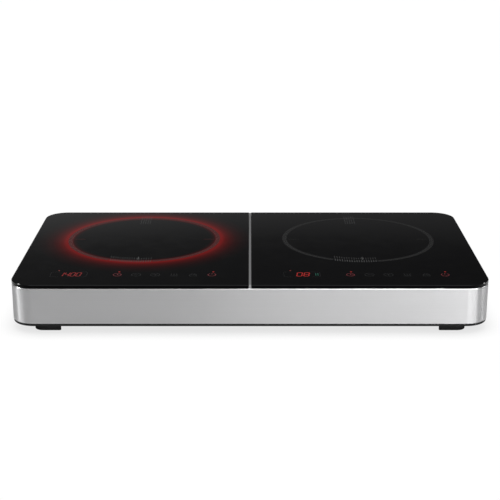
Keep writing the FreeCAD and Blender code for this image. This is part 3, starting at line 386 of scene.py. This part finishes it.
class Marks:
    """Flat closed shapes, each a thin solid that lies on the glass, joined in one mesh."""

    def __init__(self, lift=0.0):
        self.mesh = bmesh.new()
        self.low = GLASS_TOP - PRINT_SINK + lift
        self.high = GLASS_TOP + PRINT_THICKNESS + lift

    def prism(self, outline):
        """A solid from a counter-clockwise outline of (x, y) points in metres."""
        bottom = [self.mesh.verts.new((x, y, self.low)) for x, y in outline]
        top = [self.mesh.verts.new((x, y, self.high)) for x, y in outline]
        self.mesh.faces.new(top)
        self.mesh.faces.new(list(reversed(bottom)))
        self.join(bottom, top)

    def join(self, one, other):
        """Close the side between two loops of as many points."""
        for index in range(len(one)):
            following = (index + 1) % len(one)
            self.mesh.faces.new((one[index], one[following], other[following], other[index]))

    def arc(self, centre, inner, outer, start=0.0, end=360.0, step=2.0):
        """A band between two radii; a whole turn closes on itself."""
        whole = abs(end - start) >= 360.0
        count = max(2, round((end - start) / step))
        section = ((inner, self.low), (outer, self.low), (outer, self.high), (inner, self.high))
        loops = []
        for index in range(count if whole else count + 1):
            angle = math.radians(start + (end - start) * index / count)
            out = Vector((math.cos(angle), math.sin(angle)))
            points = [(centre[0] + out.x * radius, centre[1] + out.y * radius, level)
                      for radius, level in section]
            loops.append([self.mesh.verts.new(point) for point in points])
        for index in range(len(loops) - 1):
            self.join(loops[index], loops[index + 1])
        if whole:
            self.join(loops[-1], loops[0])
        else:
            self.mesh.faces.new(list(reversed(loops[0])))
            self.mesh.faces.new(loops[-1])

    def bar(self, start, end, width):
        """A straight bar with pointed ends from one point to another."""
        start, end = Vector(start), Vector(end)
        along = (end - start).normalized()
        across = Vector((-along.y, along.x)) * width / 2
        nib = along * width / 2
        self.prism([start, start + nib - across, end - nib - across,
                    end, end - nib + across, start + nib + across])

    def dot(self, centre, radius):
        angles = (math.tau * index / DOT_CORNERS for index in range(DOT_CORNERS))
        self.prism([(centre[0] + radius * math.cos(angle), centre[1] + radius * math.sin(angle))
                    for angle in angles])

    def finish(self, name, material, slot):
        """Make the mesh a piece that rides on the cooktop's body."""
        bmesh.ops.recalc_face_normals(self.mesh, faces=self.mesh.faces)
        data = bpy.data.meshes.new(name)
        self.mesh.to_mesh(data)
        self.mesh.free()
        piece = bpy.data.objects.new(name, data)
        bpy.context.scene.collection.objects.link(piece)
        data.materials.append(material)
        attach(piece, "cooktop")


RING_INNER, RING_OUTER = 98.7 * MM, 104.7 * MM
# A scale's first and last x from the zone's centre, and how many ticks it has
FRONT_SCALE = (-37.3 * MM, 15.9 * MM, 18)
REAR_SCALE = (-11.3 * MM, 1.9 * MM, 5)
# Its rows of ticks: inner radius, outer radius and width
FRONT_ROWS = [(RING_INNER - 1.6 * MM, RING_OUTER + 0.8 * MM, 0.9 * MM),
              (RING_INNER - 12 * MM, RING_INNER - 5 * MM, 0.5 * MM)]
REAR_ROWS = [(RING_INNER - 26 * MM, RING_OUTER + 7 * MM, 0.45 * MM)]
# The mark in the middle of the front scale: x, inner radius, outer radius and width
MIDDLE_MARK = (-1.2 * MM, RING_INNER - 16 * MM, RING_INNER - 4 * MM, 1.2 * MM)
RING_END_GAP = 1.0  # degrees, between the ring's ends and the front scale
# The cross hairs: how far inside the ring each starts, its length and width, and where in Y
HAIR_INSET, HAIR_LENGTH, HAIR_WIDTH, HAIR_Y = 17 * MM, 15 * MM, 0.9 * MM, -2.5 * MM


def add_upright(marks, centre, x, inner, outer, width, side):
    """A mark along Y between two radii of the zone, on its front (-1) or rear (1) side."""
    near, far = (side * math.sqrt(radius * radius - x * x) for radius in (inner, outer))
    marks.bar((centre.x + x, centre.y + near), (centre.x + x, centre.y + far), width)


def add_scale(marks, centre, scale, rows, side):
    """Evenly spaced upright ticks."""
    start, end, count = scale
    for index in range(count):
        x = start + (end - start) * index / (count - 1)
        for row in rows:
            add_upright(marks, centre, x, *row, side)


def make_zone_print(side, enamel, scale_enamel):
    """A printed ring with fine cross hairs, open at the front where a scale takes its place."""
    centre = centre_of(f"{side}_light_ring")
    ring = Marks()
    gap_left, gap_right = (math.degrees(math.acos(x / RING_INNER)) for x in FRONT_SCALE[:2])
    ring.arc(centre, RING_INNER, RING_OUTER, 360.0 - gap_right + RING_END_GAP,
             720.0 - gap_left - RING_END_GAP)
    y = centre.y + HAIR_Y
    for turn in (-1, 1):
        start = centre.x + turn * (RING_INNER - HAIR_INSET)
        ring.bar((start, y), (start + turn * HAIR_LENGTH, y), HAIR_WIDTH)
    ring.finish(f"{side}_zone_print", enamel, "silicone")

    scale = Marks(lift=PRINT_THICKNESS)
    add_scale(scale, centre, FRONT_SCALE, FRONT_ROWS, -1)
    add_scale(scale, centre, REAR_SCALE, REAR_ROWS, 1)
    add_upright(scale, centre, *MIDDLE_MARK, -1)
    scale.finish(f"{side}_zone_scale", scale_enamel, "silicone")


# The lit segments of each figure, and each segment's ends in half widths and half heights
FIGURES = {"0": "abcdef", "1": "bc", "4": "bcfg", "8": "abcdefg"}
SEGMENTS = {"a": ((-1, 1), (1, 1)), "b": ((1, 1), (1, 0)), "c": ((1, 0), (1, -1)),
            "d": ((1, -1), (-1, -1)), "e": ((-1, -1), (-1, 0)), "f": ((-1, 0), (-1, 1)),
            "g": ((-1, 0), (1, 0))}
FIGURE_HEIGHT, FIGURE_STROKE, FIGURE_SLANT = 14.0 * MM, 1.4 * MM, 0.12
FIGURE_SHIFT = 1.6 * MM
FIGURE_WIDTH = 0.7  # of the pitch between two figures
SEGMENT_GAP = 0.22  # of the stroke, at each end of a segment

# The printed window: its corner radius, its line and how far the long sides' lines run
WINDOW_CORNER, WINDOW_LINE, WINDOW_RUN = 4 * MM, 0.5 * MM, 7 * MM
# The lamp behind the window: from its left edge, behind its rear edge, and the lamp's radius
INDICATOR_INSET, INDICATOR_REAR, INDICATOR_RADIUS = 9 * MM, 5 * MM, 1.1 * MM
# The unit bars: from the window's right edge, half their height and their width
UNIT_INSETS, UNIT_HALF_HEIGHT, UNIT_WIDTH = (5.6 * MM, 2.8 * MM), 5 * MM, 1.1 * MM


def add_figure(marks, figure, x, y, width):
    """A seven-segment figure that leans to the right."""
    for segment in FIGURES[figure]:
        start, end = (Vector((x + across * width / 2 + up * FIGURE_HEIGHT / 2 * FIGURE_SLANT,
                              y + up * FIGURE_HEIGHT / 2)) for across, up in SEGMENTS[segment])
        gap = (end - start).normalized() * FIGURE_STROKE * SEGMENT_GAP
        marks.bar(start + gap, end - gap, FIGURE_STROKE)


def make_display(side, text, pitch, lamp, frame_ink, dim_lamp):
    """Glowing figures in a printed window, with a small indicator lamp behind it."""
    low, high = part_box(f"{side}_display_module")
    middle = (low + high) / 2
    figures = Marks()
    for index, figure in enumerate(text):
        x = middle.x + FIGURE_SHIFT + (index - (len(text) - 1) / 2) * pitch
        add_figure(figures, figure, x, middle.y, FIGURE_WIDTH * pitch)
    figures.finish(f"{side}_display_figures", lamp, "light_guide")

    window = Marks()
    left, right = low.x + WINDOW_CORNER, high.x - WINDOW_CORNER
    front, rear = low.y + WINDOW_CORNER, high.y - WINDOW_CORNER
    corners = ((right, rear), (left, rear), (left, front), (right, front))
    for index, corner in enumerate(corners):
        start = 90 * index
        window.arc(corner, WINDOW_CORNER - WINDOW_LINE, WINDOW_CORNER, start, start + 90, 15)
    for y in (low.y + WINDOW_LINE / 2, high.y - WINDOW_LINE / 2):
        window.bar((left, y), (left + WINDOW_RUN, y), WINDOW_LINE)
        window.bar((right - WINDOW_RUN, y), (right, y), WINDOW_LINE)
    for x in (low.x + WINDOW_LINE / 2, high.x - WINDOW_LINE / 2):
        window.bar((x, front), (x, rear), WINDOW_LINE)
    window.finish(f"{side}_display_window", frame_ink, "silicone")

    indicator = Marks()
    indicator.dot((low.x + INDICATOR_INSET, high.y + INDICATOR_REAR), INDICATOR_RADIUS)
    indicator.finish(f"{side}_display_indicator", dim_lamp, "light_guide")


def make_unit_bars(side, teal_lamp):
    """Two short bars at the right end of a display, lit to show the unit."""
    low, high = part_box(f"{side}_display_module")
    middle = (low.y + high.y) / 2
    unit = Marks()
    for inset in UNIT_INSETS:
        x = high.x - inset
        unit.bar((x, middle - UNIT_HALF_HEIGHT), (x, middle + UNIT_HALF_HEIGHT), UNIT_WIDTH)
    unit.finish(f"{side}_display_unit", teal_lamp, "light_guide")


def wave(x):
    """Two curves, one over the other, that bend opposite ways: a wisp of heat."""
    return [("arc", (x + 1.6, -1.3), 1.4, 2.2, 120, 240, 20),
            ("arc", (x - 1.6, 2.3), 1.4, 2.2, -60, 60, 20)]


# The key marks in millimetres about their centres: an arc's centre, inner and outer radius and,
# if it isn't a whole turn, its start, end and perhaps step in degrees; a bar's ends and width
TIMER = [("arc", (0, 0), 4.6, 5.5), ("bar", (0, 0), (0, 3.6), 0.9), ("bar", (0, 0), (3.0, 0), 0.9)]
MINUS = [("arc", (0, 0), 5.4, 6.2), ("bar", (-3.2, 0), (3.2, 0), 1.0)]
PLUS = MINUS + [("bar", (0, 0.7), (0, 3.2), 1.0), ("bar", (0, -3.2), (0, -0.7), 1.0)]
HEAT = [("bar", (-5.2, -4.6), (5.2, -4.6), 1.0)] + wave(-3.4) + wave(0.0) + wave(3.4)
LOCK = [("bar", (-4.2, -4.6), (4.2, -4.6), 0.9), ("bar", (4.2, -4.6), (4.2, 0.8), 0.9),
        ("bar", (4.2, 0.8), (-4.2, 0.8), 0.9), ("bar", (-4.2, 0.8), (-4.2, -4.6), 0.9),
        ("arc", (0, 1.4), 2.2, 3.1, 0, 180, 15)]
POWER = [("arc", (0, 0), 4.4, 5.4, 120, 420), ("bar", (0, 1.4), (0, 5.6), 1.0)]
KEY_ICONS = (TIMER, MINUS, PLUS, HEAT, LOCK, POWER)
# A key's lamp: to the right of the key's centre, behind it, and the lamp's radius
KEY_LAMP_SHIFT, KEY_LAMP_REAR, KEY_LAMP_RADIUS = 1.5 * MM, 11.5 * MM, 1.3 * MM


def draw_icon(marks, strokes, x, y):
    """Draw a key mark's arcs and bars with its centre at a point in metres."""
    def place(point):
        return (x + point[0] * MM, y + point[1] * MM)
    for kind, first, *rest in strokes:
        if kind == "arc":
            inner, outer, *sweep = rest
            marks.arc(place(first), inner * MM, outer * MM, *sweep)
        else:
            last, width = rest
            marks.bar(place(first), place(last), width * MM)


def make_keys(side, ink, backlight, lamp):
    """Six key marks over the key springs; the first and the last are backlit, each with a lamp."""
    low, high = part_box(f"{side}_touch_springs")
    spring_width = high.y - low.y
    first, last = low.x + spring_width / 2, high.x - spring_width / 2
    y = (low.y + high.y) / 2
    printed, backlit = Marks(), Marks()
    end = len(KEY_ICONS) - 1
    for index, strokes in enumerate(KEY_ICONS):
        marks = backlit if index in (0, end) else printed
        draw_icon(marks, strokes, first + (last - first) * index / end, y)
    printed.finish(f"{side}_key_marks", ink, "silicone")
    backlit.finish(f"{side}_backlit_keys", backlight, "light_guide")
    lamps = Marks()
    for x in (first, last):
        lamps.dot((x + KEY_LAMP_SHIFT, y + KEY_LAMP_REAR), KEY_LAMP_RADIUS)
    lamps.finish(f"{side}_key_lamps", lamp, "light_guide")


def make_marks():
    """Everything printed on the panes or lit under them."""
    ring_enamel = make_printed("ring_enamel", (0.0065, 0.0065, 0.0066), 0.2)
    lit_enamel = make_printed("lit_ring_enamel", (0.005, 0.005, 0.005), 0.2, lit=0.05)
    scale_enamel = make_printed("scale_enamel", (0.04, 0.04, 0.04), 0.25)
    key_ink = make_printed("key_ink", (0.008, 0.0084, 0.0088), 0.22)
    red_lamp = make_lamp("red_lamp", (1.0, 0.035, 0.03), 0.24)
    dim_lamp = make_lamp("dim_lamp", (1.0, 0.12, 0.1), 0.07)
    backlight = make_lamp("backlight", (1.0, 0.14, 0.18), 0.0045)
    teal_lamp = make_lamp("teal_lamp", (0.02, 0.5, 0.32), 0.018)
    soft_lamp = make_lamp("soft_lamp", (1.0, 0.035, 0.04), 0.08)
    make_display("left", "1400", 7.3 * MM, soft_lamp, key_ink, dim_lamp)
    make_display("right", "08", 8.9 * MM, red_lamp, key_ink, dim_lamp)
    make_unit_bars("right", teal_lamp)
    for side, ring_material in (("left", lit_enamel), ("right", ring_enamel)):
        make_zone_print(side, ring_material, scale_enamel)
        make_keys(side, key_ink, backlight, red_lamp)


# ---------------------------------------------------------------- studio


FLOOR_HALF = 12.0
# How bright the camera sees the floor, by how open it is to the air within reach above it
FLOOR_LEVELS = [(0.0, 0.74), (0.3, 0.79), (0.52, 0.83), (0.7, 0.92), (0.88, 0.98), (1.0, 1.01)]
CONTACT_REACH = 0.03


def make_floor():
    """A pale sheet. The camera sees it as a light table with a contact shadow on it."""
    data = bpy.data.meshes.new("floor")
    corners = [(-FLOOR_HALF, -FLOOR_HALF, 0), (FLOOR_HALF, -FLOOR_HALF, 0),
               (FLOOR_HALF, FLOOR_HALF, 0), (-FLOOR_HALF, FLOOR_HALF, 0)]
    data.from_pydata(corners, [], [(0, 1, 2, 3)])
    floor = bpy.data.objects.new("floor", data)
    bpy.context.scene.collection.objects.link(floor)
    paint = Material("floor_paint", (0.5, 0.5, 0.5), roughness=0.9)
    paint.tint(paint.noise(3.0), (0.49, 0.49, 0.49), (0.51, 0.51, 0.51))
    openness = paint.node("AmbientOcclusion", {"samples": 8}, Distance=CONTACT_REACH)
    level = paint.node("ValToRGB", Fac=openness.outputs["AO"])
    fill_ramp(level, FLOOR_LEVELS)
    table = paint.node("Emission", Color=level.outputs["Color"])
    to_camera = paint.node("LightPath").outputs["Is Camera Ray"]
    seen = paint.node("MixShader", None, [to_camera, paint.shader.outputs[0], table.outputs[0]])
    output = next(node for node in paint.tree.nodes if node.type == "OUTPUT_MATERIAL")
    paint.link(seen.outputs[0], output.inputs["Surface"])
    data.materials.append(paint.material)


# How bright the walls are, by the sine of the height above the horizon
WALL_LEVELS = [(0.0, 0.16), (0.2, 0.13), (0.26, 0.112), (0.273, 0.093), (0.2855, 0.058),
               (0.2933, 0.031), (0.3087, 0.023), (0.33, 0.02), (0.45, 0.05), (0.6, 0.5),
               (0.75, 0.6), (1.0, 0.62)]
# Half of what that is multiplied by, by azimuth in degrees from the front, over the right
SIDE_LEVELS = [(-90, 0.25), (-55, 0.34), (-25, 0.42), (0, 0.5), (55, 0.5), (68, 0.12),
               (95, 0.15), (155, 0.2), (169, 0.31), (180, 0.5), (189, 0.75), (198, 0.8),
               (212, 0.5), (228, 0.15), (262, 0.12), (270, 0.25)]
# Between these heights the sides' differences fade out
SIDES_FADE = (0.72, 0.95)
BACKDROP = 0.98  # what the camera sees behind the cooktop


def make_world():
    """A pale studio: height above the horizon and azimuth set how bright its walls are."""
    world = bpy.data.worlds.new("studio")
    world.use_nodes = True
    bpy.context.scene.world = world
    studio = ShaderTree(world.node_tree)
    direction = studio.node("TexCoord").outputs["Generated"]
    height = studio.node("SeparateXYZ", Vector=direction).outputs["Z"]
    walls = studio.node("ValToRGB", Fac=height)
    fill_ramp(walls, WALL_LEVELS)
    around = studio.node("TexGradient", {"gradient_type": "RADIAL"}, Vector=direction)
    sides = studio.node("ValToRGB", Fac=around.outputs["Fac"])
    fill_ramp(sides, [(azimuth / 360 + 0.25, level) for azimuth, level in SIDE_LEVELS])
    low_down = studio.node("MapRange", Value=height, From_Min=SIDES_FADE[0],
                           From_Max=SIDES_FADE[1], To_Min=1.0, To_Max=0.0)
    sided = studio.node("Mix", {"data_type": "RGBA"}, Factor=low_down.outputs["Result"],
                        A=(0.5, 0.5, 0.5, 1.0), B=sides.outputs["Color"])
    product = studio.vector_math("MULTIPLY", walls.outputs["Color"], sided.outputs["Result"])
    doubled = studio.vector_math("MULTIPLY", product, (2.0, 2.0, 2.0))
    to_camera = studio.node("LightPath").outputs["Is Camera Ray"]
    seen = studio.node("Mix", {"data_type": "RGBA"}, Factor=to_camera, A=doubled,
                       B=(BACKDROP, BACKDROP, BACKDROP, 1.0))
    background = studio.tree.nodes["Background"]
    studio.link(seen.outputs["Result"], background.inputs["Color"])
    background.inputs["Strength"].default_value = 1.0


# Soft boxes above head height, so that the black glass doesn't mirror them in low views:
# place, the point each one faces, width and depth, and power in watts
LIGHTS = {
    "key_box": ((1.24, -1.26, 1.25), (0.28, -0.16, 0.03), (1.5, 0.5), 34.0),
    "fill_box": ((0.34, -1.32, 1.5), (0.08, -0.16, 0.03), (0.82, 0.5), 9.5),
    "second_fill_box": ((0.51, -1.3, 1.5), (0.24, -0.16, 0.03), (0.5, 0.5), 2.3),
    "top_box": ((0.0, -0.75, 1.7), (0.0, -0.16, 0.06), (1.8, 0.4), 3.5),
    "left_box": ((-1.57, 0.076, 1.25), (-0.29, -0.15, 0.03), (0.2, 1.0), 23.0),
    "right_box": ((1.48, 0.37, 1.25), (0.29, -0.15, 0.03), (0.2, 1.0), 11.0),
}


def make_lights():
    """The soft boxes, each turned to the point it faces and unseen by the camera."""
    for name, (place, target, size, power) in LIGHTS.items():
        lamp = bpy.data.lights.new(name, "AREA")
        lamp.shape = "RECTANGLE"
        lamp.size, lamp.size_y = size
        lamp.energy = power
        light = bpy.data.objects.new(name, lamp)
        light.location = place
        aim = Vector(target) - Vector(place)
        light.rotation_euler = aim.to_track_quat("-Z", "Y").to_euler()
        light.visible_camera = False
        bpy.context.scene.collection.objects.link(light)


CAMERA_DISTANCE = 1.603  # in front of the cooktop's centre
CAMERA_RISE = 0.4995  # above the glass
CAMERA_PITCH = 17.52  # degrees below the horizon
SENSOR_WIDTH, FOCAL_LENGTH = 36.0, 88.6  # millimetres


def make_camera():
    """A long lens, a little above the worktop, square to the front."""
    data = bpy.data.cameras.new("camera")
    data.sensor_width = SENSOR_WIDTH
    data.lens = FOCAL_LENGTH
    data.clip_end = 60.0
    camera = bpy.data.objects.new("camera", data)
    camera.location = (0.0, -CAMERA_DISTANCE, GLASS_TOP + CAMERA_RISE)
    camera.rotation_euler = Euler((math.radians(90 - CAMERA_PITCH), 0.0, 0.0))
    bpy.context.scene.collection.objects.link(camera)
    bpy.context.scene.camera = camera


dress_cad_nodes()
make_marks()
make_floor()
make_world()
make_lights()
make_camera()
bpy.context.scene.view_settings.view_transform = "Standard"
